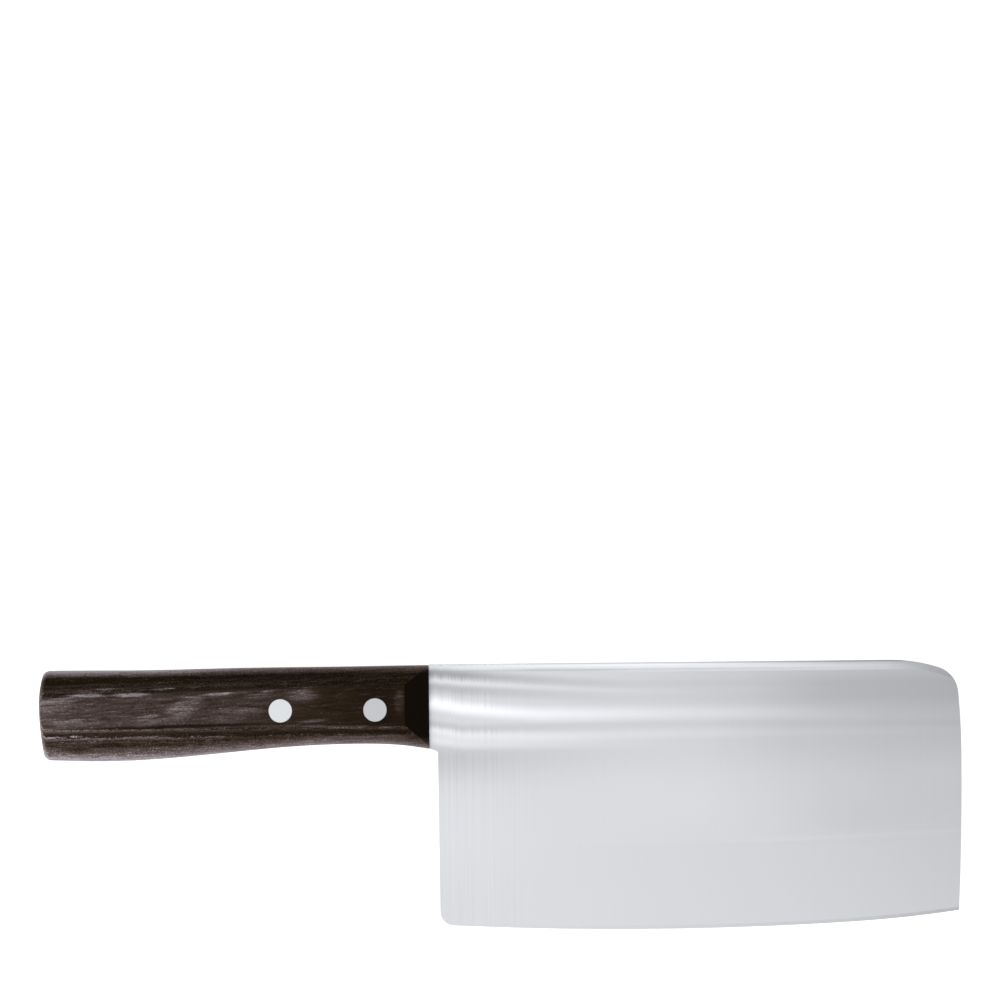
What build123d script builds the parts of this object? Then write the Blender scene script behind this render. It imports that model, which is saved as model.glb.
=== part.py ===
# Chinese cleaver with a riveted half tang, lying flat on its side.
# Lengths are in millimetres. +X runs to the toe, +Y to the spine, +Z up out of the side of the knife.
# The origin is the middle of the outline's bounding box, on the level of the handle's lower side facet.
import math
import os

from build123d import *

os.makedirs("parts", exist_ok=True)

# Blade: plate and outline
blade_thickness = 2.2
blade_length = 166.46
blade_height = 84.87
neck_length = 2.65
neck_flare_drop = 0.95
neck_corner_radius = 1.0
heel_lean = 0.3
heel_corner_radius = 4.5
toe_lean = 1.2
toe_spine_radius = 48.5
toe_corner_radius = 9.0
toe_front_radius = 220.0
toe_spine_turn = 18.25
toe_corner_turn = 66.75
quarter_turn = 90.0

# Blade: cutting edge, two arcs that meet tangentially
belly_lowest_setback = 67.45
belly_change_setback = 132.45
belly_heel_radius = 1150.0
belly_toe_radius = 375.0

# Blade: ground bevels
grind_height = 26.1
edge_bevel_thickness = 0.7
edge_land = 0.1
edge_bevel_angle = 15.0
spine_ease_width = 2.0
spine_ease_depth = 0.35
grind_station_shares = (-0.03, 0.17, 0.38, 0.6, 0.8, 0.9, 1.03)
grind_height_shares = (0.9, 0.982, 1.0, 1.0, 1.0, 0.98, 0.905)

# Handle: side view
handle_length = 123.8
handle_height = 29.53
handle_drop = 0.27
handle_thickness = 20.0
butt_crown_drop = 11.0
butt_top_setback = 1.55
butt_bottom_setback = 1.65
butt_top_radius = 2.4
butt_bottom_radius = 2.6
# Each pair is how far back from the front and how far down, as shares of the length and the height.
top_line_shares = ((0.225, 0.007), (0.483, 0.011), (0.74, 0.027), (0.9, 0.023))
top_corner_drop_share = 0.023
bottom_line_shares = ((0.843, 1.0), (0.587, 0.944), (0.33, 0.853), (0.201, 0.836), (0.074, 0.853))
bottom_corner_drop_share = 0.982
front_height_share = 0.898
front_flare_slope = -0.17
butt_flare_slope = -0.03

# Handle: facets and rims
upper_ridge_front_drop = 5.95
upper_ridge_butt_drop = 9.9
lower_ridge_drop = 19.15
front_ridge_setback = 7.75
upper_bevel_angle = 30.5
lower_bevel_angle = 24.7
front_bevel_angle = 21.8
long_rim_radius = 2.0
butt_rim_radius = 0.8
front_rim_chamfer = 0.25

# Tang and slot
tang_length = 62.0
tang_corner_cut = 4.0
slot_length = 64.5
slot_clearance = 0.03

# Rivets
front_rivet_setback = 17.15
rivet_spacing = 30.05
rivet_drop = 14.2
rivet_head_radius = 3.8
rivet_head_height = 1.6
rivet_head_chamfer = 0.12
rivet_tube_radius = 2.4
rivet_shank_radius = 1.6
rivet_tube_end_gap = 0.3
rivet_shank_end_gap = 0.6
rivet_hole_clearance = 0.04
rivet_seat_clearance = 0.03
rivet_fit_clearance = 0.02
tang_hole_clearance = 0.15

# How far every cut runs past the material
overrun = 5.0

# Places worked out from the sizes
overall_length = handle_length + neck_length + blade_length
front_x = handle_length - overall_length / 2
spine_y = blade_height / 2
middle_z = handle_thickness / 2
side_view = Plane(origin=(front_x, spine_y, middle_z))
front_height = front_height_share * handle_height
toe_x = neck_length + blade_length
lowest_x = neck_length + belly_lowest_setback
change_x = neck_length + belly_change_setback


def belly_centres():
    """Centres of the cutting edge's two arcs, in the side view."""
    heel_centre = Vector(lowest_x, belly_heel_radius - blade_height)
    across = change_x - lowest_x
    rise = math.sqrt(belly_heel_radius**2 - across**2)
    change = Vector(change_x, heel_centre.Y - rise)
    toe_centre = change + (heel_centre - change) * (belly_toe_radius / belly_heel_radius)
    return heel_centre, toe_centre


def belly_y(x):
    """Height of the cutting edge in the side view at a distance from the wood's front."""
    heel_centre, toe_centre = belly_centres()
    if x < change_x:
        return heel_centre.Y - math.sqrt(belly_heel_radius**2 - (x - heel_centre.X) ** 2)
    return toe_centre.Y - math.sqrt(belly_toe_radius**2 - (x - toe_centre.X) ** 2)


def belly_point(x):
    return (x, belly_y(x))


def handle_point(shares):
    return (-shares[0] * handle_length, -handle_drop - shares[1] * handle_height)


# Side view of the handle
top_corner_drop = handle_drop + top_corner_drop_share * handle_height
top_corner = (butt_top_setback - handle_length, -top_corner_drop)
bottom_corner_drop = handle_drop + bottom_corner_drop_share * handle_height
bottom_corner = (butt_bottom_setback - handle_length, -bottom_corner_drop)
butt_crown = (-handle_length, -butt_crown_drop)
front_top = (0, -handle_drop)
front_bottom = (0, -handle_drop - front_height)

with BuildSketch(side_view) as handle_outline:
    with BuildLine():
        Spline(
            front_top,
            *[handle_point(shares) for shares in top_line_shares],
            top_corner,
            tangents=[(-1, 0), (-1, 0)],
        )
        TangentArc(butt_crown, top_corner, tangent=(0, 1))
        TangentArc(butt_crown, bottom_corner, tangent=(0, -1))
        Spline(
            bottom_corner,
            *[handle_point(shares) for shares in bottom_line_shares],
            front_bottom,
            tangents=[(1, butt_flare_slope), (1, front_flare_slope)],
        )
        Line(front_bottom, front_top)
    make_face()

# Side view of the blade, from the wood's front to the toe
first_turn = math.radians(toe_spine_turn)
second_turn = math.radians(toe_spine_turn + toe_corner_turn)
toe_curve_length = (
    toe_spine_radius * math.sin(first_turn)
    + toe_corner_radius * (math.sin(second_turn) - math.sin(first_turn))
    + toe_front_radius * (1 - math.sin(second_turn))
)
toe_bottom_x = toe_x - toe_lean
spine_start = (0, 0)
spine_end = (toe_x - toe_curve_length, 0)
heel_foot = belly_point(neck_length + heel_lean)
neck_corner = (neck_length, -handle_drop - front_height - neck_flare_drop)

with BuildSketch(side_view) as blade_outline:
    with BuildLine():
        Line(spine_start, spine_end)
        toe_one = JernArc(spine_end, (1, 0), toe_spine_radius, -toe_spine_turn)
        toe_two = JernArc(toe_one @ 1, toe_one % 1, toe_corner_radius, -toe_corner_turn)
        last_turn = toe_spine_turn + toe_corner_turn - quarter_turn
        toe_three = JernArc(toe_two @ 1, toe_two % 1, toe_front_radius, last_turn)
        TangentArc(toe_three @ 1, belly_point(toe_bottom_x), tangent=(0, -1))
        ThreePointArc(
            belly_point(toe_bottom_x),
            belly_point((toe_bottom_x + change_x) / 2),
            belly_point(change_x),
        )
        ThreePointArc(belly_point(change_x), belly_point(lowest_x), heel_foot)
        Line(heel_foot, neck_corner)
        Line(neck_corner, front_bottom)
        Line(front_bottom, spine_start)
    make_face()


def across_blade(x):
    """Plane across the blade at a distance from the wood's front, with its own X up to the spine."""
    return Plane(origin=(front_x + x, spine_y, middle_z), x_dir=(0, 1, 0), z_dir=(1, 0, 0))


def bevel_plane(point, along, angle, side):
    """Plane that leaves a side facet along a ridge and slopes down on the ridge's left."""
    run = Vector(along[0], along[1]).normalized()
    out = Vector(-run.Y, run.X)
    tilt = math.radians(angle)
    normal = out * math.sin(tilt) + Vector(0, 0, side * math.cos(tilt))
    origin = (front_x + point[0], spine_y + point[1], middle_z + side * handle_thickness / 2)
    return Plane(origin=origin, x_dir=run, z_dir=normal)


# Ground bevels of the blade, both sides, cut as one wheel would leave them
half_blade = blade_thickness / 2
half_land = edge_land / 2
half_behind_edge = edge_bevel_thickness / 2
edge_bevel_slope = math.tan(math.radians(edge_bevel_angle))
edge_bevel_width = (half_behind_edge - half_land) / edge_bevel_slope

with BuildPart() as grind_cut:
    for side in (1, -1):
        for station_share, height_share in zip(grind_station_shares, grind_height_shares):
            station_x = neck_length + station_share * blade_length
            edge_y = belly_y(station_x)
            ground_height = height_share * grind_height
            grind_slope = (half_blade - half_behind_edge) / (ground_height - edge_bevel_width)
            low_y = edge_y - overrun
            high_y = edge_y + ground_height + overrun
            high_z = half_blade + overrun * grind_slope
            with BuildSketch(across_blade(station_x)):
                with BuildLine():
                    Polyline(
                        (low_y, side * (half_land - overrun * edge_bevel_slope)),
                        (edge_y + edge_bevel_width, side * half_behind_edge),
                        (high_y, side * high_z),
                        (low_y, side * high_z),
                        close=True,
                    )
                make_face()
        loft()

# Sheet with both edges of its spine eased, along the spine and on past the toe's corner
ease_end = toe_one @ 1 + (toe_one % 1) * toe_curve_length

with BuildPart() as eased_sheet:
    with BuildSketch(side_view.offset(-half_blade)):
        with BuildLine():
            Line((-overrun, 0), spine_end)
            JernArc(spine_end, (1, 0), toe_spine_radius, -toe_spine_turn)
            Polyline(
                toe_one @ 1,
                ease_end,
                (ease_end.X, -blade_height - overrun),
                (-overrun, -blade_height - overrun),
                (-overrun, 0),
            )
        make_face()
    extrude(amount=blade_thickness)
    for side in (1, -1):
        side_face = eased_sheet.faces().filter_by(Axis.Z).sort_by(Axis.Z)[-1 if side > 0 else 0]
        eased = side_face.edges().filter_by(lambda edge: edge.center().Y > spine_y + ease_end.Y)
        chamfer(eased, spine_ease_width, spine_ease_depth, reference=side_face)

# Blade: eased plate, ground bevels, then the tang with its two rivet holes
rivet_points = (
    (-front_rivet_setback, -rivet_drop),
    (-front_rivet_setback - rivet_spacing, -rivet_drop),
)
tang_hole_radius = rivet_tube_radius + tang_hole_clearance

with BuildPart() as blade:
    with BuildSketch(side_view):
        add(blade_outline.sketch_local)
    extrude(amount=half_blade, both=True)
    upright = blade.edges().filter_by(Axis.Z)
    fillet(upright.sort_by_distance(side_view.from_local_coords(neck_corner))[0], neck_corner_radius)
    upright = blade.edges().filter_by(Axis.Z)
    fillet(upright.sort_by_distance(side_view.from_local_coords(heel_foot))[0], heel_corner_radius)
    add(eased_sheet.part, mode=Mode.INTERSECT)
    add(grind_cut.part, mode=Mode.SUBTRACT)
    with BuildSketch(side_view.offset(-half_blade)):
        add(handle_outline.sketch_local)
        with Locations((-tang_length / 2, -handle_height / 2)):
            Rectangle(tang_length, handle_height + 2 * overrun, mode=Mode.INTERSECT)
    extrude(amount=blade_thickness)
    chamfer(blade.edges().filter_by(Axis.Z).group_by(Axis.X)[0], tang_corner_cut)
    with BuildSketch(side_view):
        with Locations(*rivet_points):
            Circle(tang_hole_radius)
    extrude(amount=blade_thickness, both=True, mode=Mode.SUBTRACT)
blade.part.label = "blade"
export_step(blade.part, "parts/blade.step")

# Handle: one piece of wood with flat side facets, sloped bevels and rounded rims
ridge_fall = upper_ridge_butt_drop - upper_ridge_front_drop
half_handle = handle_thickness / 2
slot_width = blade_thickness + 2 * slot_clearance
cut_size = 2 * overall_length
upper_ridge_front = (0, -upper_ridge_front_drop)
lower_ridge_front = (0, -lower_ridge_drop)
front_ridge_foot = (-front_ridge_setback, -lower_ridge_drop)
tube_hole_radius = rivet_tube_radius + rivet_hole_clearance
seat_radius = rivet_head_radius + rivet_seat_clearance

with BuildPart() as handle:
    with BuildSketch(side_view.offset(-half_handle)):
        add(handle_outline.sketch_local)
    extrude(amount=handle_thickness)
    upright = handle.edges().filter_by(Axis.Z)
    fillet(upright.sort_by_distance(side_view.from_local_coords(top_corner))[0], butt_top_radius)
    upright = handle.edges().filter_by(Axis.Z)
    fillet(upright.sort_by_distance(side_view.from_local_coords(bottom_corner))[0], butt_bottom_radius)
    for side in (1, -1):
        upper = bevel_plane(upper_ridge_front, (handle_length, ridge_fall), upper_bevel_angle, side)
        lower = bevel_plane(lower_ridge_front, (-1, 0), lower_bevel_angle, side)
        for plane in (upper, lower):
            with BuildSketch(plane):
                Rectangle(cut_size, cut_size)
            extrude(amount=handle_thickness, mode=Mode.SUBTRACT)

    # Rims along the top and the bottom, which run on round the butt, then the butt's rims on the facets
    sloped = handle.edges().filter_by_position(Axis.Z, 0, handle_thickness, inclusive=(False, False))
    fillet(sloped.filter_by(lambda edge: edge.length > handle_length / 2), long_rim_radius)
    side_facets = handle.faces().filter_by(Axis.Z).sort_by(Axis.Z)
    butt_rims = (side_facets[0].edges() + side_facets[-1].edges()).filter_by(GeomType.LINE, reverse=True)
    fillet(butt_rims, butt_rim_radius)

    # Front bevels and the front face's small chamfer
    for side in (1, -1):
        with BuildSketch(bevel_plane(front_ridge_foot, (0, -1), front_bevel_angle, side)):
            Rectangle(cut_size, cut_size)
        extrude(amount=handle_thickness, mode=Mode.SUBTRACT)
    chamfer(handle.faces().sort_by(Axis.X)[-1].edges(), front_rim_chamfer)

    # Slot for the tang, holes for the rivets' tubes and seats for their heads
    with BuildSketch(side_view):
        with Locations(((overrun - slot_length) / 2, -handle_height / 2)):
            Rectangle(slot_length + overrun, handle_height + 2 * overrun)
    extrude(amount=slot_width / 2, both=True, mode=Mode.SUBTRACT)
    with BuildSketch(side_view):
        with Locations(*rivet_points):
            Circle(tube_hole_radius)
    extrude(amount=handle_thickness, both=True, mode=Mode.SUBTRACT)
    for side in (1, -1):
        with BuildSketch(side_view.offset(side * (half_handle - rivet_head_height))):
            with Locations(*rivet_points):
                Circle(seat_radius)
        extrude(amount=side * handle_thickness, mode=Mode.SUBTRACT)
handle.part.label = "handle"
export_step(handle.part, "parts/handle.step")

# Resin that fills the slot behind the tang, flush with the wood
tang_shoulder = tang_length - tang_corner_cut

with BuildPart() as tang_space:
    with BuildSketch(side_view.offset(-slot_width / 2)):
        add(handle_outline.sketch_local)
        with Locations((-tang_length / 2, -handle_height / 2)):
            Rectangle(tang_length, handle_height + 2 * overrun, mode=Mode.INTERSECT)
    extrude(amount=slot_width)
    chamfer(tang_space.edges().filter_by(Axis.Z).group_by(Axis.X)[0], tang_corner_cut)

with BuildPart() as slot_resin:
    with BuildSketch(side_view.offset(-slot_width / 2)):
        add(handle_outline.sketch_local)
        with Locations((-(slot_length + tang_shoulder) / 2, -handle_height / 2)):
            Rectangle(slot_length - tang_shoulder, handle_height + 2 * overrun, mode=Mode.INTERSECT)
    extrude(amount=slot_width)
    add(tang_space.part, mode=Mode.SUBTRACT)
slot_resin.part.label = "slot_resin"
export_step(slot_resin.part, "parts/slot_resin.step")

# Rivets: a tubular half from below and a solid half from above, which fits in the tube
floor_z = -half_handle
ceiling_z = half_handle
tube_end_z = ceiling_z - rivet_head_height - rivet_tube_end_gap
bore_radius = rivet_shank_radius + rivet_fit_clearance
stand = (Align.CENTER, Align.CENTER, Align.MIN)
hang = (Align.CENTER, Align.CENTER, Align.MAX)
bore_floor_z = floor_z + rivet_head_height
shank_end_z = bore_floor_z + rivet_shank_end_gap

with BuildPart(side_view) as front_rivet_cap:
    with Locations((*rivet_points[0], floor_z)):
        Cylinder(rivet_head_radius, rivet_head_height, align=stand)
        Cylinder(rivet_tube_radius, tube_end_z - floor_z, align=stand)
    with Locations((*rivet_points[0], bore_floor_z)):
        Cylinder(bore_radius, handle_thickness, align=stand, mode=Mode.SUBTRACT)
    chamfer(front_rivet_cap.faces().sort_by(Axis.Z)[0].edges(), rivet_head_chamfer)
front_rivet_cap.part.label = "front_rivet_cap"
export_step(front_rivet_cap.part, "parts/front_rivet_cap.step")

with BuildPart(side_view) as front_rivet_post:
    with Locations((*rivet_points[0], ceiling_z)):
        Cylinder(rivet_head_radius, rivet_head_height, align=hang)
        Cylinder(rivet_shank_radius, ceiling_z - shank_end_z, align=hang)
    chamfer(front_rivet_post.faces().sort_by(Axis.Z)[-1].edges(), rivet_head_chamfer)
front_rivet_post.part.label = "front_rivet_post"
export_step(front_rivet_post.part, "parts/front_rivet_post.step")

with BuildPart(side_view) as rear_rivet_cap:
    with Locations((*rivet_points[1], floor_z)):
        Cylinder(rivet_head_radius, rivet_head_height, align=stand)
        Cylinder(rivet_tube_radius, tube_end_z - floor_z, align=stand)
    with Locations((*rivet_points[1], bore_floor_z)):
        Cylinder(bore_radius, handle_thickness, align=stand, mode=Mode.SUBTRACT)
    chamfer(rear_rivet_cap.faces().sort_by(Axis.Z)[0].edges(), rivet_head_chamfer)
rear_rivet_cap.part.label = "rear_rivet_cap"
export_step(rear_rivet_cap.part, "parts/rear_rivet_cap.step")

with BuildPart(side_view) as rear_rivet_post:
    with Locations((*rivet_points[1], ceiling_z)):
        Cylinder(rivet_head_radius, rivet_head_height, align=hang)
        Cylinder(rivet_shank_radius, ceiling_z - shank_end_z, align=hang)
    chamfer(rear_rivet_post.faces().sort_by(Axis.Z)[-1].edges(), rivet_head_chamfer)
rear_rivet_post.part.label = "rear_rivet_post"
export_step(rear_rivet_post.part, "parts/rear_rivet_post.step")
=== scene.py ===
import math

import bmesh
import bpy
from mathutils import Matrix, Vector


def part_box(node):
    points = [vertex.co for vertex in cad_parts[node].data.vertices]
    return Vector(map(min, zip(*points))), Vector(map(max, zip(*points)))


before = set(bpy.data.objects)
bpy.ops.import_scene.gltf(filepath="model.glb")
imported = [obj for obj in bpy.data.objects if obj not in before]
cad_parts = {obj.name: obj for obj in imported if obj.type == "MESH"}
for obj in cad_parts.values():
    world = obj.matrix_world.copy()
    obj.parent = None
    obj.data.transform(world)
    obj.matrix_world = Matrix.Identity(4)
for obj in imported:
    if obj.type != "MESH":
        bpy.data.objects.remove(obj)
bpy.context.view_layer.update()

MM = 0.001

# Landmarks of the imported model, in metres
blade_low, blade_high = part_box("blade")
handle_low, handle_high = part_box("handle")
wood_front = handle_high.x
spine = blade_high.y
plate_middle = (blade_low.z + blade_high.z) / 2

# Sizes of the handle, in millimetres
handle_length = (handle_high.x - handle_low.x) / MM
half_handle = (handle_high.z - handle_low.z) / 2 / MM

# Colours
STEEL = "#cccdd1"
RIVET_STEEL = "#c8cacd"
OIL_SHEEN = "#f2dcc8"
ACRYLIC = "#bcbcbc"
WHITE = "#ffffff"
# Dyed beech, from its darkest to its lightest
DYE_COLOURS = [
    (0.03, "#080300"),
    (0.08, "#120801"),
    (0.13, "#1b1108"),
    (0.22, "#281e14"),
    (0.33, "#392e29"),
    (0.47, "#4e4341"),
    (0.6, "#625757"),
    (0.73, "#766c6d"),
    (0.9, "#8f888c"),
    (1.0, "#9f9aa0"),
]
EPOXY_COLOURS = [(0.35, "#0e0805"), (0.7, "#21160f")]

# Middle value of a noise texture, and the value that stands for no change in a ramp of tones
NOISE_MIDDLE = 0.5
NO_TONE = 0.5

# In the groups of four numbers below, a value goes from "To Min" to "To Max" as what it follows goes
# from "From Min" to "From Max". Places along the knife are in millimetres ahead of the wood's front,
# and drops are in millimetres below the spine.

# Hairlines of the steel, by their size along the knife, upright and through it in millimetres. Real
# ones are under 0.1 mm wide, but would not show from here. They show most beside the handle.
HAIR_SIZE = (0.4, 55, 3)
HAIR_DETAIL = 3.0
HAIR_FADE = {"From Min": 4, "From Max": 45, "To Min": 1.0, "To Max": 0.13}
# Their height in millimetres and how much of it shows, their share in the shading, and how far they
# fray the painted reflection bands
HAIR_HEIGHT = 0.004
HAIR_BUMP = 0.5
HAIR_SHADE = 0.2
HAIR_FRAY = 1.6
STEEL_ROUGHNESS = {"From Min": 0.3, "From Max": 0.7, "To Min": 0.275, "To Max": 0.285}

# Upper edge of the ground bevel, by its drop. It rises past the blade's middle, by the square of
# the distance.
GRIND_START = {"From Min": 57.6, "From Max": 58.4, "To Min": 0, "To Max": 1}
GRIND_BEND = 75
GRIND_RISE = 0.0003
# Painted shade: the bevel's colour gets darker towards the toe
GRIND_SHADE = {"From Min": 20, "From Max": 150, "To Min": 0.0, "To Max": -0.045}
# Painted highlight: a thin light line just above the bevel, by its drop and the inner and outer half
# of its width
GLINT_DROP = 57.0
GLINT_INNER = 0.2
GLINT_OUTER = 1.0
GLINT_RISE = {"From Min": 85, "From Max": 125, "To Min": 0, "To Max": 0.035}

# Painted reflections of the blade: light and dark bands painted into the steel's colour where the
# studio lights would mirror in the ground steel, and a thin painted shade along the spine. Each has
# its drop and its tone at some distances from the handle, where tone is how much lighter or darker
# it is than the plate, and how far it reaches to each side.
BAND_SPAN = 170
DEEPEST_BAND = 80
PAINTED_REFLECTION_BANDS = [
    {
        "drops": [(0, 0.1)],
        "tones": [(0, -0.15), (25, -0.15), (35, -0.3), (60, -0.35), (170, -0.45)],
        "reach": 0.55,
    },
    {
        "drops": [(0, 0.4)],
        "tones": [(75, 0.0), (100, -0.1), (130, -0.2), (150, -0.16)],
        "reach": 1.3,
    },
    {
        "drops": [(0, 1.9)],
        "tones": [
            (8, -0.05), (20, -0.12), (35, -0.24), (50, -0.2),
            (70, -0.16), (100, -0.12), (130, -0.02),
        ],
        "reach": 1.0,
    },
    {
        "drops": [(0, 2.5)],
        "tones": [
            (50, 0.0), (65, 0.12), (100, 0.18), (130, 0.25),
            (145, 0.22), (153, 0.06), (160, 0.0),
        ],
        "reach": 0.9,
    },
    {
        "drops": [(0, 9.0)],
        "tones": [(70, 0.0), (100, -0.04), (125, -0.15), (160, -0.15)],
        "reach": 10.5,
    },
    {
        "drops": [(2, 2.9), (11, 3.5), (22, 4.3), (46, 6.1), (62, 6.9)],
        "tones": [(0, -0.45), (11, -0.41), (22, -0.27), (40, -0.17), (65, -0.08), (110, -0.03)],
        "reach": 2.5,
    },
    {
        "drops": [(2, 5.4), (11, 6.2), (18, 6.7), (30, 7.4), (46, 8.2), (62, 8.8)],
        "tones": [(0, 0.14), (11, 0.13), (22, 0.09), (46, 0.05), (80, 0.0)],
        "reach": 1.4,
    },
    {
        "drops": [(2, 7.3), (11, 8.3), (22, 9.0), (46, 10.4), (62, 11.3)],
        "tones": [(0, -0.27), (11, -0.25), (22, -0.19), (40, -0.11), (65, -0.04), (110, -0.02)],
        "reach": 3.0,
    },
    {
        "drops": [
            (2, 12.5), (11, 14.1), (22, 15.2), (35, 16.1),
            (50, 16.2), (115, 16.3), (160, 17.8),
        ],
        "tones": [
            (0, 0.5), (11, 0.45), (45, 0.27), (65, 0.2),
            (80, 0.15), (110, 0.1), (128, 0.04), (145, 0.0),
        ],
        "reach": 3.4,
    },
    {
        "drops": [(0, 18.8), (11, 20.4), (45, 20.2), (80, 19.4), (160, 20.0)],
        "tones": [(0, -0.17), (11, -0.15), (50, -0.07), (80, -0.04), (160, -0.03)],
        "reach": 2.0,
    },
    {
        "drops": [(2, 21.2), (11, 23.0), (45, 23.3), (80, 22.8), (160, 22.6)],
        "tones": [
            (0, 0.22), (11, 0.2), (35, 0.17), (56, 0.1),
            (80, 0.07), (120, 0.04), (160, 0.02),
        ],
        "reach": 2.2,
    },
    {
        "drops": [(2, 24.2), (11, 25.6), (45, 25.6)],
        "tones": [(0, 0.22), (11, 0.2), (35, 0.12), (56, 0.04), (80, 0.0)],
        "reach": 2.6,
    },
    {
        "drops": [(0, 22)],
        "tones": [(90, 0.0), (115, -0.07), (160, -0.07)],
        "reach": 15.0,
    },
    {
        "drops": [(0, 30.0), (60, 29.0)],
        "tones": [(0, -0.2), (11, -0.19), (30, -0.12), (60, -0.04), (80, -0.01)],
        "reach": 9.0,
    },
    {
        "drops": [(0, 37)],
        "tones": [(0, -0.04), (30, -0.03), (60, 0.0)],
        "reach": 6.0,
    },
    {
        "drops": [(0, 43)],
        "tones": [(30, 0.0), (60, 0.02), (85, 0.05), (110, 0.02), (125, 0.0)],
        "reach": 20.0,
    },
    {
        "drops": [(0, 55)],
        "tones": [(0, 0.04), (20, 0.025), (45, 0.0)],
        "reach": 24.0,
    },
    {
        "drops": [(0, 50)],
        "tones": [(110, 0.0), (135, -0.035), (150, -0.015), (165, 0.02)],
        "reach": 10.0,
    },
    {
        "drops": [(0, 33)],
        "tones": [(145, 0.0), (165, 0.045)],
        "reach": 15.0,
    },
]

# Tone of the handle's side facet, by share of the length from the butt. It falls towards the front
# partly with the wood and partly as painted sheen of the light beyond the butt.
FACET_TONES = [
    (0.0, 0.5),
    (0.06, 0.44),
    (0.12, 0.38),
    (0.3, 0.36),
    (0.42, 0.34),
    (0.53, 0.34),
    (0.61, 0.3),
    (0.7, 0.22),
    (0.8, 0.17),
    (0.87, 0.11),
    (0.94, 0.13),
]
# Tone of the veneers that the slopes cut, by share of the depth of 10 mm to the handle's middle.
# The slopes above and below the facet have stripes of their own, and the lower slope is lighter on
# the whole: painted light, as it faces the low panel beyond the edge.
UPPER_VENEERS = [
    (0.0, 0.26),
    (0.02, 0.34),
    (0.05, 0.2),
    (0.085, 0.18),
    (0.12, 0.3),
    (0.155, 0.28),
    (0.18, 0.16),
    (0.23, 0.22),
    (0.26, 0.1),
    (0.33, 0.12),
    (0.4, 0.17),
    (0.5, 0.2),
    (0.53, 0.45),
    (0.6, 0.4),
    (0.62, 0.2),
    (0.75, 0.24),
    (0.77, 0.42),
    (0.85, 0.36),
    (0.87, 0.2),
    (1.0, 0.24),
]
LOWER_VENEERS = [
    (0.0, 0.16),
    (0.015, 0.16),
    (0.03, 0.4),
    (0.06, 0.38),
    (0.075, 0.15),
    (0.13, 0.17),
    (0.148, 0.5),
    (0.165, 0.46),
    (0.18, 0.18),
    (0.22, 0.3),
    (0.25, 0.18),
    (0.28, 0.28),
    (0.36, 0.22),
    (0.42, 0.3),
    (0.5, 0.28),
    (0.53, 0.45),
    (0.6, 0.4),
    (0.62, 0.2),
    (0.75, 0.24),
    (0.77, 0.42),
    (0.85, 0.36),
    (0.87, 0.2),
    (1.0, 0.24),
]
# Patches where the next veneer shows through the side facet, and pale or dark streaks along the
# ridges: middle as place along the knife and drop, half length and half height, turn in degrees,
# tone
WOOD_PATCHES = [
    {"middle": (-78, 13.2), "half": (9, 4.6), "turn": -28, "tone": 0.22},
    {"middle": (-89, 17), "half": (8, 2.0), "turn": -6, "tone": 0.2},
    {"middle": (-111, 17.4), "half": (12, 1.7), "turn": -3, "tone": 0.18},
    {"middle": (-119, 12), "half": (8, 3), "turn": -8, "tone": 0.14},
    {"middle": (-62, 15.5), "half": (12, 3.0), "turn": -8, "tone": 0.12},
    {"middle": (-53, 9), "half": (9, 1.2), "turn": -4, "tone": 0.2},
    {"middle": (-40, 9.3), "half": (7, 3.0), "turn": -3, "tone": 0.26},
    {"middle": (-37, 17.5), "half": (6.5, 0.8), "turn": -3, "tone": 0.25},
    {"middle": (-26, 19.5), "half": (24, 0.8), "turn": 1, "tone": 0.24},
    {"middle": (-9.5, 12), "half": (2.2, 5), "turn": 0, "tone": 0.14},
    {"middle": (-112, 26.2), "half": (7, 1.3), "turn": 3, "tone": -0.14},
    {"middle": (-101, 24.8), "half": (6, 1.2), "turn": 0, "tone": -0.1},
    {"middle": (-44, 22.4), "half": (34, 0.7), "turn": 0, "tone": -0.1},
    {"middle": (-80, 18.9), "half": (44, 0.8), "turn": -1.2, "tone": -0.22},
    {"middle": (-109, 8.7), "half": (8.5, 0.8), "turn": 1, "tone": 0.6},
    {"middle": (-94.7, 8.6), "half": (8, 0.85), "turn": -1, "tone": 0.7},
    {"middle": (-85, 6.9), "half": (5.5, 0.55), "turn": -2, "tone": 0.36},
    {"middle": (-103, 6.8), "half": (4, 0.45), "turn": -2, "tone": 0.24},
    {"middle": (-67, 8.6), "half": (7, 0.75), "turn": -3, "tone": 0.45},
    {"middle": (-116, 9.6), "half": (8, 0.35), "turn": -2, "tone": 0.2},
]
# The part of a patch that has its full tone, and the half height above which its edge wanders far
PATCH_CORE = 0.35
PATCH_WANDERS = 1
# Drop of the handle's lower edge, as a share of the deepest, by share of the length from the butt
DEEPEST_EDGE = 30
LOWER_EDGE = [
    (0.0, 0.976),
    (0.157, 0.993),
    (0.413, 0.938),
    (0.67, 0.849),
    (0.799, 0.832),
    (0.926, 0.849),
    (1.0, 0.893),
]

# Wood grain: broad streaks, short dashes and speckles of pores, by their size along, across and
# through the handle in millimetres, and the noise's detail. Real pores are under 0.1 mm wide, so
# the speckles are drawn coarser. The grain leans a little against the handle, in degrees.
GRAIN = [((13, 1.1, 0.9), 2.0), ((4, 0.5, 0.45), 2.0), ((0.5, 0.3, 0.3), 1.0)]
GRAIN_LEAN = -2.5
# How strongly each of the three changes the tone
GRAIN_CONTRAST = (0.9, 1.2, 1.1)
# How far they ripple the veneers, in millimetres
BROAD_RIPPLE = 0.9
DASH_RIPPLE = 0.7
SPECKLE_RIPPLE = 0.5
# What they add to the slopes
SLOPE_DASHES = 0.2
SLOPE_SPECKLES = 0.45
# How far they move the edges of patches and of streaks, in millimetres
PATCH_WANDER = 3.5
PATCH_DASHES = 2.0
STREAK_WANDER = 0.8
# Their relief in millimetres, how much of it shows, and the speckles' part in it
GRAIN_HEIGHT = 0.05
GRAIN_BUMP = 0.5
SPECKLE_RELIEF = 0.5

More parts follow.
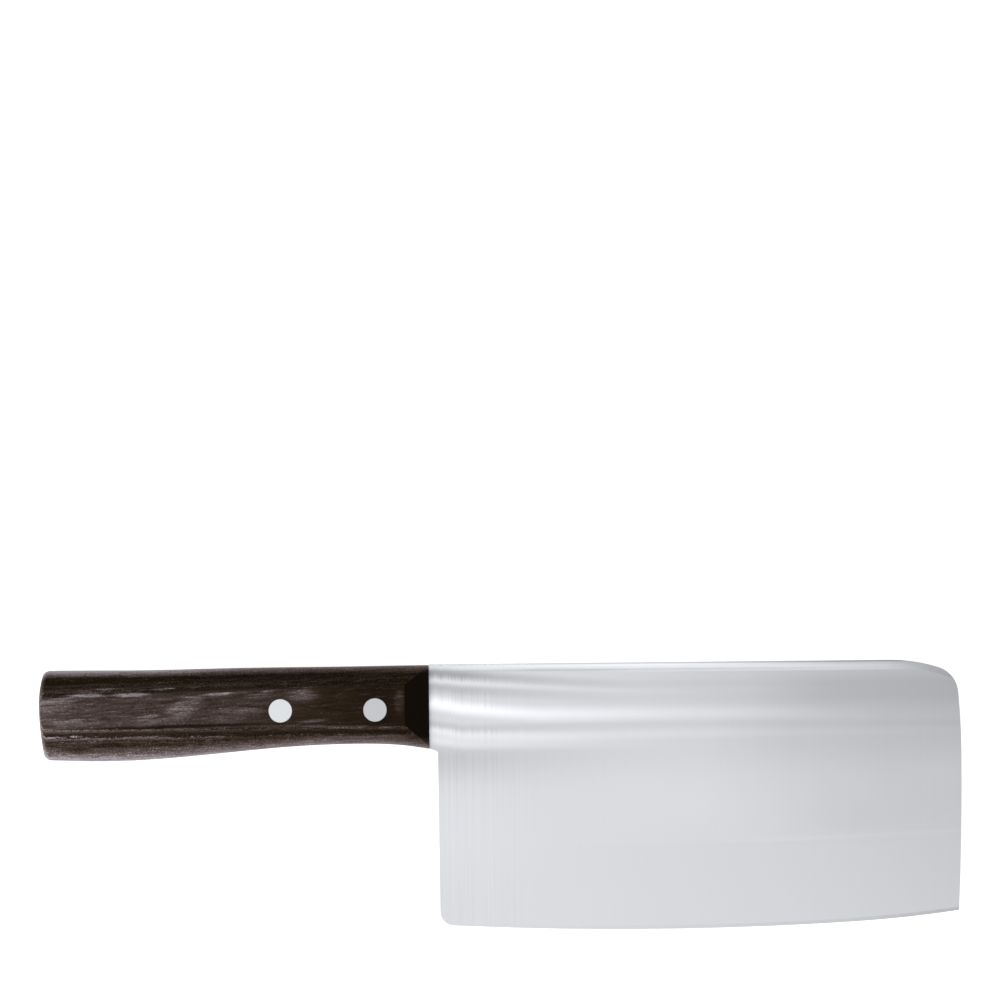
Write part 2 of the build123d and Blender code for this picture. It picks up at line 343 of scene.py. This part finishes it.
# Where the slope starts, by the veneers' depth, and where the lower half of the handle does, by its
# drop
SLOPE_START = {"From Min": 0.05, "From Max": 0.2, "To Min": 0, "To Max": 1}
LOWER_SIDE = {"From Min": 14, "From Max": 16, "To Min": 0, "To Max": 1}
# Painted light: the slopes are lighter towards the butt, the lower one more, as they face the low
# panel beyond the butt and the edge
SLOPE_PAINTED_LIGHT = {"From Min": -110, "From Max": -20, "To Min": 1.12, "To Max": 0.62}
LOWER_PAINTED_LIGHT = {"From Min": -110, "From Max": -20, "To Min": 1.15, "To Max": 0.78}
# Painted shade on the front slope and painted sheen on the rims, by how far the surface faces
# forwards, sideways or backwards
FRONT_SHADE = {"From Min": 0.12, "From Max": 0.3, "To Min": 1, "To Max": 0.15}
WALL_SHEEN = {"From Min": 0.05, "From Max": 0.4, "To Min": 0.25, "To Max": 1}
BUTT_SHEEN = {"From Min": 0.2, "From Max": 0.8, "To Min": 0, "To Max": 0.35}
# Drop of the handle's upper edge, how strongly the upper and lower rims get their painted sheen, how
# wide they are in millimetres, and how uneven the grain makes them
UPPER_EDGE = {"From Min": -95, "From Max": 0, "To Min": 1.0, "To Max": 0.3}
TOP_SHEEN = {"From Min": -85, "From Max": -58, "To Min": 0.95, "To Max": 0.6}
TOP_REACH = 2.3
BOTTOM_SHEEN = 0.62
BOTTOM_REACH = {"From Min": -95, "From Max": -50, "To Min": 4.4, "To Max": 3.9}
SHEEN_UNEVEN = 1.5
# Wood of a lighter tone is smoother. The oil gives it a weak warm sheen.
WOOD_ROUGHNESS = {"From Min": 0.1, "From Max": 0.9, "To Min": 0.6, "To Max": 0.48}
SHEEN_LEVEL = 0.1

# Scratches of the rivets, by their size in millimetres and their turn in degrees, coarser than real
# ones. Their height is in millimetres. The rear rivet is painted brighter than the front one:
# painted light that falls off towards the front.
SCRATCH_SIZE = (4, 0.25, 1)
SCRATCH_TURN = 38
SCRATCH_DETAIL = 3.0
SCRATCH_HEIGHT = 0.005
SCRATCH_BUMP = 0.4
SCRATCH_SHADE = {"From Min": 0.3, "From Max": 0.7, "To Min": 0.95, "To Max": 1.05}
RIVET_LIGHT_FALLOFF = {"From Min": -44, "From Max": -20, "To Min": 1.11, "To Max": 0.85}
RIVET_ROUGHNESS = {"From Min": 0.3, "From Max": 0.7, "To Min": 0.34, "To Max": 0.42}

# Specks of wood dust in the resin, per millimetre
DUST_DENSITY = 3.0
DUST_DETAIL = 2.0
RESIN_ROUGHNESS = 0.35

# Floor: half its width in metres and its gap under the knife in millimetres. It glows, so that it
# stays white. The surroundings are white too.
FLOOR_SIZE = 12
FLOOR_GAP = 0.1
FLOOR_ROUGHNESS = 0.6
FLOOR_GLOW = 0.85
WORLD_STRENGTH = 0.3

# Key panel overhead, turned so that one edge lies diagonally and the blade mirrors it, in metres
KEY_HEIGHT = 0.5
KEY_EDGE = 0.130
KEY_SIZE = 0.8
KEY_TURN = 45
KEY_RADIANCE = 0.91
# The other panels, in metres: a wide dim one overhead, a narrow one for the eased spine, a bright
# one low beyond the butt and the edge, and two far ones that only tell in views from the side
PANELS = [
    {
        "name": "overhead",
        "middle": (0.03, 0.0, 0.5),
        "aim": (0.03, 0.0, 0.0),
        "size": (0.62, 0.56),
        "radiance": 0.38,
    },
    {
        "name": "spine_strip",
        "middle": (0.05, 0.222, 0.5),
        "aim": (0.05, 0.042, 0.0),
        "size": (0.15, 0.08),
        "radiance": 2.5,
    },
    {
        "name": "low_side",
        "middle": (-0.88, -0.77, 0.66),
        "aim": (-0.08, 0.03, 0.0),
        "size": (0.7, 0.7),
        "radiance": 5.5,
    },
    {
        "name": "far_back",
        "middle": (-0.50, 0.58, 0.36),
        "aim": (0.03, 0.0, 0.0),
        "size": (0.5, 0.36),
        "radiance": 0.8,
    },
    {
        "name": "far_front",
        "middle": (0.60, -0.64, 0.28),
        "aim": (0.03, 0.0, 0.0),
        "size": (0.6, 0.36),
        "radiance": 0.8,
    },
]

# Camera straight above, far off with a long lens, in metres. Its turn is in degrees.
FRAME_WIDTH = 0.318
CAMERA_AHEAD = 0.02318
CAMERA_ABOVE_SPINE = 0.05203
CAMERA_TURN = -0.56
LENS = 500
SENSOR = 36
CLIP_END = 50


def colour(text):
    """Linear RGBA of an sRGB hex colour."""
    values = [int(text[i : i + 2], 16) / 255 for i in (1, 3, 5)]
    return [v / 12.92 if v <= 0.04045 else ((v + 0.055) / 1.055) ** 2.4 for v in values] + [1.0]


def add(tree, kind, inputs=None, **settings):
    """Adds a node, sets its properties and fills its inputs from values, sockets or other nodes'
    first output."""
    node = tree.nodes.new(kind)
    for name, value in settings.items():
        setattr(node, name, value)
    for name, value in (inputs or {}).items():
        if isinstance(value, bpy.types.Node):
            value = value.outputs[0]
        if isinstance(value, bpy.types.NodeSocket):
            tree.links.new(value, node.inputs[name])
        else:
            node.inputs[name].default_value = value
    return node


def new_material(name):
    """An empty material, and the object's own coordinates in millimetres. X is the distance from the
    wood's front towards the toe, Y the drop below the spine and Z the height."""
    material = bpy.data.materials.new(name)
    material.use_nodes = True
    tree = material.node_tree
    tree.nodes.clear()
    where = add(tree, "ShaderNodeTexCoord")
    side_view = add(
        tree,
        "ShaderNodeMapping",
        {
            "Vector": where.outputs["Object"],
            "Location": (-wood_front / MM, spine / MM, 0),
            "Scale": (1 / MM, -1 / MM, 1 / MM),
        },
    )
    return material, tree, side_view


def set_ramp(ramp_node, stops, interpolation="LINEAR"):
    """Gives a colour ramp its stops: pairs of a position and a grey value or a hex colour."""
    ramp = ramp_node.color_ramp
    ramp.interpolation = interpolation
    while len(ramp.elements) > 1:
        ramp.elements.remove(ramp.elements[-1])
    for i, (position, value) in enumerate(stops):
        stop = ramp.elements[0] if i == 0 else ramp.elements.new(position)
        stop.position = position
        stop.color = colour(value) if isinstance(value, str) else (value, value, value, 1)


def blade_steel():
    """Stainless sheet, ground from spine to edge and hand polished. Fine upright hairlines spread the
    light sideways. Light and dark bands under the spine are painted reflections in the steel's colour."""
    material, tree, side_view = new_material("satin_ground_stainless_steel")
    axes = add(tree, "ShaderNodeSeparateXYZ", {"Vector": side_view})
    along, down = axes.outputs["X"], axes.outputs["Y"]

    # Hairlines, which also fray the edges of the painted reflection bands
    hair_place = add(
        tree,
        "ShaderNodeMapping",
        {"Vector": side_view, "Scale": HAIR_SIZE},
        vector_type="TEXTURE",
    )
    hair = add(
        tree, "ShaderNodeTexNoise", {"Vector": hair_place, "Scale": 1.0, "Detail": HAIR_DETAIL}
    )
    hair_even = add(tree, "ShaderNodeMath", {0: hair, 1: NOISE_MIDDLE}, operation="SUBTRACT")
    near_handle = add(
        tree,
        "ShaderNodeMapRange",
        {"Value": along, **HAIR_FADE},
        interpolation_type="SMOOTHSTEP",
    )
    hair_near = add(tree, "ShaderNodeMath", {0: hair_even, 1: near_handle}, operation="MULTIPLY")
    band_place = add(
        tree, "ShaderNodeMath", {0: hair_near, 1: HAIR_FRAY, 2: down}, operation="MULTIPLY_ADD"
    )

    share_along = add(
        tree, "ShaderNodeMath", {0: along, 1: BAND_SPAN}, operation="DIVIDE", use_clamp=True
    )
    total = add(
        tree, "ShaderNodeMath", {0: hair_near, 1: HAIR_SHADE, 2: 1.0}, operation="MULTIPLY_ADD"
    )
    # Painted reflections: each band lightens or darkens the steel's colour
    for band in PAINTED_REFLECTION_BANDS:
        drop = add(tree, "ShaderNodeValToRGB", {"Fac": share_along})
        set_ramp(drop, [(x / BAND_SPAN, value / DEEPEST_BAND) for x, value in band["drops"]])
        middle = add(tree, "ShaderNodeMath", {0: drop, 1: DEEPEST_BAND}, operation="MULTIPLY")
        tone = add(tree, "ShaderNodeValToRGB", {"Fac": share_along})
        set_ramp(tone, [(x / BAND_SPAN, value + NO_TONE) for x, value in band["tones"]])
        strength = add(tree, "ShaderNodeMath", {0: tone, 1: NO_TONE}, operation="SUBTRACT")
        offset = add(tree, "ShaderNodeMath", {0: band_place, 1: middle}, operation="SUBTRACT")
        distance = add(tree, "ShaderNodeMath", {0: offset}, operation="ABSOLUTE")
        share = add(
            tree,
            "ShaderNodeMapRange",
            {
                "Value": distance,
                "From Min": 0,
                "From Max": band["reach"],
                "To Min": strength,
                "To Max": 0,
            },
            interpolation_type="SMOOTHSTEP",
        )
        total = add(tree, "ShaderNodeMath", {0: total, 1: share}, operation="ADD")

    # Painted shade darkens the ground bevel a little towards the toe, and a painted highlight runs
    # along its upper edge
    past_middle = add(tree, "ShaderNodeMath", {0: along, 1: GRIND_BEND}, operation="SUBTRACT")
    past = add(tree, "ShaderNodeMath", {0: past_middle, 1: 0}, operation="MAXIMUM")
    rise = add(tree, "ShaderNodeMath", {0: past, 1: past}, operation="MULTIPLY")
    level = add(tree, "ShaderNodeMath", {0: rise, 1: GRIND_RISE, 2: down}, operation="MULTIPLY_ADD")
    ground = add(tree, "ShaderNodeMapRange", {"Value": level, **GRIND_START})
    # Painted highlight along the bevel's upper edge
    above_line = add(tree, "ShaderNodeMath", {0: level, 1: GLINT_DROP}, operation="SUBTRACT")
    off_line = add(tree, "ShaderNodeMath", {0: above_line}, operation="ABSOLUTE")
    glint = add(tree, "ShaderNodeMapRange", {"Value": along, **GLINT_RISE})
    glint_line = add(
        tree,
        "ShaderNodeMapRange",
        {
            "Value": off_line,
            "From Min": GLINT_INNER,
            "From Max": GLINT_OUTER,
            "To Min": glint,
            "To Max": 0,
        },
    )
    total = add(tree, "ShaderNodeMath", {0: total, 1: glint_line}, operation="ADD")
    # Painted shade on the ground bevel, darker towards the toe
    bevel_shade = add(tree, "ShaderNodeMapRange", {"Value": along, **GRIND_SHADE})
    total = add(tree, "ShaderNodeMath", {0: ground, 1: bevel_shade, 2: total}, operation="MULTIPLY_ADD")

    tint = add(
        tree, "ShaderNodeVectorMath", {0: colour(STEEL)[:3], "Scale": total}, operation="SCALE"
    )
    rough = add(tree, "ShaderNodeMapRange", {"Value": hair, **STEEL_ROUGHNESS})
    bump = add(
        tree,
        "ShaderNodeBump",
        {"Height": hair_near, "Distance": HAIR_HEIGHT * MM, "Strength": HAIR_BUMP},
    )
    shader = add(
        tree,
        "ShaderNodeBsdfPrincipled",
        {"Base Color": tint, "Metallic": 1.0, "Roughness": rough, "Normal": bump},
    )
    add(tree, "ShaderNodeOutputMaterial", {"Surface": shader})
    return material


def handle_wood():
    """Beech veneers, dyed dark and pressed into a block with resin, then ground and oiled. The side
    facets show the face of one veneer, with the next one showing through in patches. The slopes cut
    across several, which show as long stripes. The rounded rims have a pale painted sheen, the front
    slope painted shade, and the facets and slopes are lighter towards the butt, partly with painted
    light."""
    material, tree, side_view = new_material("dyed_laminated_beech")
    axes = add(tree, "ShaderNodeSeparateXYZ", {"Vector": side_view})
    along, down, height = axes.outputs["X"], axes.outputs["Y"], axes.outputs["Z"]
    share_along = add(
        tree,
        "ShaderNodeMapRange",
        {"Value": along, "From Min": -handle_length, "From Max": 0, "To Min": 0, "To Max": 1},
    )
    surface = add(tree, "ShaderNodeNewGeometry")
    facing = add(tree, "ShaderNodeSeparateXYZ", {"Vector": surface.outputs["Normal"]})

    # How deep the surface lies below the side facets
    off_middle = add(tree, "ShaderNodeMath", {0: height, 1: half_handle}, operation="SUBTRACT")
    from_middle = add(tree, "ShaderNodeMath", {0: off_middle}, operation="ABSOLUTE")
    depth = add(tree, "ShaderNodeMath", {0: half_handle, 1: from_middle}, operation="SUBTRACT")

    # Grain
    grain = []
    for size, detail in GRAIN:
        place = add(
            tree,
            "ShaderNodeMapping",
            {"Vector": side_view, "Rotation": (0, 0, math.radians(GRAIN_LEAN)), "Scale": size},
            vector_type="TEXTURE",
        )
        noise = add(tree, "ShaderNodeTexNoise", {"Vector": place, "Scale": 1.0, "Detail": detail})
        grain.append(add(tree, "ShaderNodeMath", {0: noise, 1: NOISE_MIDDLE}, operation="SUBTRACT"))
    broad, dashes, speckles = grain

    # Veneers aren't quite flat: they ripple with the grain
    ripple_depth = add(
        tree, "ShaderNodeMath", {0: dashes, 1: DASH_RIPPLE, 2: depth}, operation="MULTIPLY_ADD"
    )
    veneer_depth = add(
        tree,
        "ShaderNodeMath",
        {0: broad, 1: BROAD_RIPPLE, 2: ripple_depth},
        operation="MULTIPLY_ADD",
    )
    veneer_depth = add(
        tree,
        "ShaderNodeMath",
        {0: speckles, 1: SPECKLE_RIPPLE, 2: veneer_depth},
        operation="MULTIPLY_ADD",
    )
    veneer_share = add(
        tree, "ShaderNodeMath", {0: veneer_depth, 1: half_handle}, operation="DIVIDE", use_clamp=True
    )
    upper = add(tree, "ShaderNodeValToRGB", {"Fac": veneer_share})
    set_ramp(upper, UPPER_VENEERS)
    lower = add(tree, "ShaderNodeValToRGB", {"Fac": veneer_share})
    set_ramp(lower, LOWER_VENEERS)
    is_lower = add(tree, "ShaderNodeMapRange", {"Value": down, **LOWER_SIDE})
    # Painted light: the lower slope is lighter, most towards the butt
    lower_painted_light = add(tree, "ShaderNodeMapRange", {"Value": along, **LOWER_PAINTED_LIGHT})
    lower = add(tree, "ShaderNodeMath", {0: lower, 1: lower_painted_light}, operation="MULTIPLY")
    slope_tone = add(tree, "ShaderNodeMix", {"Factor": is_lower, "A": upper, "B": lower})
    # Painted light: both slopes are lighter towards the butt
    towards_front = add(tree, "ShaderNodeMapRange", {"Value": along, **SLOPE_PAINTED_LIGHT})
    slope_tone = add(
        tree, "ShaderNodeMath", {0: slope_tone, 1: towards_front}, operation="MULTIPLY"
    )
    slope_tone = add(
        tree,
        "ShaderNodeMath",
        {0: dashes, 1: SLOPE_DASHES, 2: slope_tone},
        operation="MULTIPLY_ADD",
    )
    slope_tone = add(
        tree,
        "ShaderNodeMath",
        {0: speckles, 1: SLOPE_SPECKLES, 2: slope_tone},
        operation="MULTIPLY_ADD",
    )
    # Facet tone, lighter towards the butt partly as painted sheen
    facet_tone = add(tree, "ShaderNodeValToRGB", {"Fac": share_along})
    set_ramp(facet_tone, FACET_TONES)
    on_slope = add(tree, "ShaderNodeMapRange", {"Value": ripple_depth, **SLOPE_START})
    tone = add(tree, "ShaderNodeMix", {"Factor": on_slope, "A": facet_tone, "B": slope_tone})

    # Patches and streaks, with edges that wander with the grain
    wander = add(
        tree, "ShaderNodeMath", {0: broad, 1: PATCH_WANDER, 2: down}, operation="MULTIPLY_ADD"
    )
    wander = add(
        tree, "ShaderNodeMath", {0: dashes, 1: PATCH_DASHES, 2: wander}, operation="MULTIPLY_ADD"
    )
    little_wander = add(
        tree, "ShaderNodeMath", {0: broad, 1: STREAK_WANDER, 2: down}, operation="MULTIPLY_ADD"
    )
    patch_place = add(tree, "ShaderNodeCombineXYZ", {"X": along, "Y": wander})
    streak_place = add(tree, "ShaderNodeCombineXYZ", {"X": along, "Y": little_wander})
    for patch in WOOD_PATCHES:
        place = add(
            tree,
            "ShaderNodeMapping",
            {
                "Vector": patch_place if patch["half"][1] > PATCH_WANDERS else streak_place,
                "Location": (*patch["middle"], 0),
                "Rotation": (0, 0, math.radians(patch["turn"])),
                "Scale": (*patch["half"], 1),
            },
            vector_type="TEXTURE",
        )
        distance = add(tree, "ShaderNodeVectorMath", {0: place}, operation="LENGTH")
        share = add(
            tree,
            "ShaderNodeMapRange",
            {
                "Value": distance.outputs["Value"],
                "From Min": PATCH_CORE,
                "From Max": 1.0,
                "To Min": patch["tone"],
                "To Max": 0,
            },
            interpolation_type="SMOOTHSTEP",
        )
        tone = add(tree, "ShaderNodeMath", {0: tone, 1: share}, operation="ADD")

    # Grain darkens and lightens in proportion
    for source, weight in zip(grain, GRAIN_CONTRAST):
        factor = add(
            tree, "ShaderNodeMath", {0: source, 1: weight, 2: 1.0}, operation="MULTIPLY_ADD"
        )
        tone = add(tree, "ShaderNodeMath", {0: tone, 1: factor}, operation="MULTIPLY")

    # Painted shade: the front slope, which faces away from the light, is darkened nearly to black
    front_shade = add(tree, "ShaderNodeMapRange", {"Value": facing.outputs["X"], **FRONT_SHADE})
    tone = add(tree, "ShaderNodeMath", {0: tone, 1: front_shade}, operation="MULTIPLY")

    # Painted sheen on the rims, along the top, along the bottom and round the butt, but less on the
    # walls
    upright = add(tree, "ShaderNodeMath", {0: facing.outputs["Z"]}, operation="ABSOLUTE")
    wall = add(tree, "ShaderNodeMapRange", {"Value": upright, **WALL_SHEEN})
    upper_edge = add(tree, "ShaderNodeMapRange", {"Value": along, **UPPER_EDGE})
    lower_edge = add(tree, "ShaderNodeValToRGB", {"Fac": share_along})
    set_ramp(lower_edge, LOWER_EDGE, "CARDINAL")
    below_top = add(tree, "ShaderNodeMath", {0: down, 1: upper_edge}, operation="SUBTRACT")
    lower_drop = add(tree, "ShaderNodeMath", {0: lower_edge, 1: DEEPEST_EDGE}, operation="MULTIPLY")
    above_bottom = add(tree, "ShaderNodeMath", {0: lower_drop, 1: down}, operation="SUBTRACT")
    behind = add(tree, "ShaderNodeMath", {0: facing.outputs["X"], 1: -1}, operation="MULTIPLY")
    top_sheen = add(tree, "ShaderNodeMapRange", {"Value": along, **TOP_SHEEN})
    lower_reach = add(tree, "ShaderNodeMapRange", {"Value": along, **BOTTOM_REACH})
    rims = ((below_top, TOP_REACH, top_sheen), (above_bottom, lower_reach, BOTTOM_SHEEN))
    for source, reach, sheen_strength in rims:
        uneven = add(
            tree, "ShaderNodeMath", {0: broad, 1: SHEEN_UNEVEN, 2: source}, operation="MULTIPLY_ADD"
        )
        rim_sheen = add(
            tree,
            "ShaderNodeMapRange",
            {"Value": uneven, "From Min": 0, "From Max": reach, "To Min": sheen_strength, "To Max": 0},
        )
        tone = add(tree, "ShaderNodeMath", {0: rim_sheen, 1: wall, 2: tone}, operation="MULTIPLY_ADD")
    # Painted sheen round the butt, where the surface faces backwards
    rim_sheen = add(tree, "ShaderNodeMapRange", {"Value": behind, **BUTT_SHEEN})
    tone = add(tree, "ShaderNodeMath", {0: rim_sheen, 1: wall, 2: tone}, operation="MULTIPLY_ADD")

    dye = add(tree, "ShaderNodeValToRGB", {"Fac": tone})
    set_ramp(dye, DYE_COLOURS)
    rough = add(tree, "ShaderNodeMapRange", {"Value": tone, **WOOD_ROUGHNESS})
    relief = add(
        tree,
        "ShaderNodeMath",
        {0: speckles, 1: SPECKLE_RELIEF, 2: dashes},
        operation="MULTIPLY_ADD",
    )
    bump = add(
        tree,
        "ShaderNodeBump",
        {"Height": relief, "Distance": GRAIN_HEIGHT * MM, "Strength": GRAIN_BUMP},
    )
    shader = add(
        tree,
        "ShaderNodeBsdfPrincipled",
        {
            "Base Color": dye,
            "Roughness": rough,
            "Specular IOR Level": SHEEN_LEVEL,
            "Specular Tint": colour(OIL_SHEEN),
            "Normal": bump,
        },
    )
    add(tree, "ShaderNodeOutputMaterial", {"Surface": shader})
    return material


def rivet_metal():
    """Soft stainless rivets, ground flush with the wood on a belt, which leaves fine parallel
    scratches. The rear rivet is painted brighter than the front one, as painted light that falls off
    towards the front."""
    material, tree, side_view = new_material("belt_ground_rivet_steel")
    axes = add(tree, "ShaderNodeSeparateXYZ", {"Vector": side_view})
    scratch_place = add(
        tree,
        "ShaderNodeMapping",
        {"Vector": side_view, "Rotation": (0, 0, math.radians(SCRATCH_TURN)), "Scale": SCRATCH_SIZE},
        vector_type="TEXTURE",
    )
    scratch = add(
        tree,
        "ShaderNodeTexNoise",
        {"Vector": scratch_place, "Scale": 1.0, "Detail": SCRATCH_DETAIL},
    )
    # Painted light: the rear rivet lighter than the front one
    rivet_light = add(tree, "ShaderNodeMapRange", {"Value": axes.outputs["X"], **RIVET_LIGHT_FALLOFF})
    shade = add(tree, "ShaderNodeMapRange", {"Value": scratch, **SCRATCH_SHADE})
    shade = add(tree, "ShaderNodeMath", {0: shade, 1: rivet_light}, operation="MULTIPLY")
    tint = add(
        tree, "ShaderNodeVectorMath", {0: colour(RIVET_STEEL)[:3], "Scale": shade}, operation="SCALE"
    )
    rough = add(tree, "ShaderNodeMapRange", {"Value": scratch, **RIVET_ROUGHNESS})
    bump = add(
        tree,
        "ShaderNodeBump",
        {"Height": scratch, "Distance": SCRATCH_HEIGHT * MM, "Strength": SCRATCH_BUMP},
    )
    shader = add(
        tree,
        "ShaderNodeBsdfPrincipled",
        {"Base Color": tint, "Metallic": 1.0, "Roughness": rough, "Normal": bump},
    )
    add(tree, "ShaderNodeOutputMaterial", {"Surface": shader})
    return material


def resin():
    """Epoxy with wood dust, filed flush with the handle. It is smoother than the wood, with lighter
    specks."""
    material, tree, side_view = new_material("cast_dark_epoxy")
    dust = add(
        tree,
        "ShaderNodeTexNoise",
        {"Vector": side_view, "Scale": DUST_DENSITY, "Detail": DUST_DETAIL},
    )
    shade = add(tree, "ShaderNodeValToRGB", {"Fac": dust})
    set_ramp(shade, EPOXY_COLOURS)
    shader = add(
        tree,
        "ShaderNodeBsdfPrincipled",
        {"Base Color": shade, "Roughness": RESIN_ROUGHNESS},
    )
    add(tree, "ShaderNodeOutputMaterial", {"Surface": shader})
    return material


def softbox(name, middle, aim, size, radiance):
    """A soft panel of light that the camera doesn't see."""
    width, height = size
    light = bpy.data.lights.new(name, "AREA")
    light.shape = "RECTANGLE"
    light.size = width
    light.size_y = height
    light.energy = radiance * width * height * math.pi
    lamp = bpy.data.objects.new(name, light)
    bpy.context.scene.collection.objects.link(lamp)
    lamp.location = middle
    lamp.rotation_euler = (Vector(aim) - Vector(middle)).to_track_quat("-Z", "Y").to_euler()
    lamp.visible_camera = False
    return lamp


rivet = rivet_metal()
finishes = {"blade": blade_steel(), "handle": handle_wood(), "slot_resin": resin()}
for name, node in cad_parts.items():
    node.material_slots[0].material = finishes.get(name, rivet)

# Floor: matt white acrylic sheet, lit from below
floor_mesh = bpy.data.meshes.new("floor")
sheet = bmesh.new()
bmesh.ops.create_grid(sheet, x_segments=1, y_segments=1, size=FLOOR_SIZE)
bmesh.ops.translate(sheet, verts=sheet.verts, vec=(0, 0, -FLOOR_GAP * MM))
sheet.to_mesh(floor_mesh)
sheet.free()
floor = bpy.data.objects.new("floor", floor_mesh)
bpy.context.scene.collection.objects.link(floor)
floor_material = bpy.data.materials.new("matt_white_acrylic")
floor_material.use_nodes = True
tree = floor_material.node_tree
tree.nodes.clear()
shader = add(
    tree,
    "ShaderNodeBsdfPrincipled",
    {
        "Base Color": colour(ACRYLIC),
        "Roughness": FLOOR_ROUGHNESS,
        "Emission Color": colour(WHITE),
        "Emission Strength": FLOOR_GLOW,
    },
)
add(tree, "ShaderNodeOutputMaterial", {"Surface": shader})
floor_mesh.materials.append(floor_material)

# Light: even white surroundings, the key panel and the other panels
world = bpy.data.worlds.new("studio")
bpy.context.scene.world = world
world.use_nodes = True
surroundings = world.node_tree.nodes["Background"]
surroundings.inputs["Color"].default_value = colour(WHITE)
surroundings.inputs["Strength"].default_value = WORLD_STRENGTH

key_offset = (KEY_EDGE / math.sqrt(2) - KEY_SIZE / 2) / math.sqrt(2)
key_middle = (key_offset, key_offset, KEY_HEIGHT)
key = softbox("key", key_middle, (key_offset, key_offset, 0.0), (KEY_SIZE, KEY_SIZE), KEY_RADIANCE)
key.rotation_euler = (0, 0, math.radians(KEY_TURN))
for panel in PANELS:
    softbox(**panel)

# Camera
view = bpy.data.cameras.new("camera")
view.lens = LENS
view.sensor_width = SENSOR
view.clip_end = CLIP_END
camera = bpy.data.objects.new("camera", view)
bpy.context.scene.collection.objects.link(camera)
camera.location = (
    wood_front + CAMERA_AHEAD,
    spine + CAMERA_ABOVE_SPINE,
    plate_middle + FRAME_WIDTH * LENS / SENSOR,
)
camera.rotation_euler = (0, 0, math.radians(CAMERA_TURN))
bpy.context.scene.camera = camera
bpy.context.scene.view_settings.view_transform = "Standard"
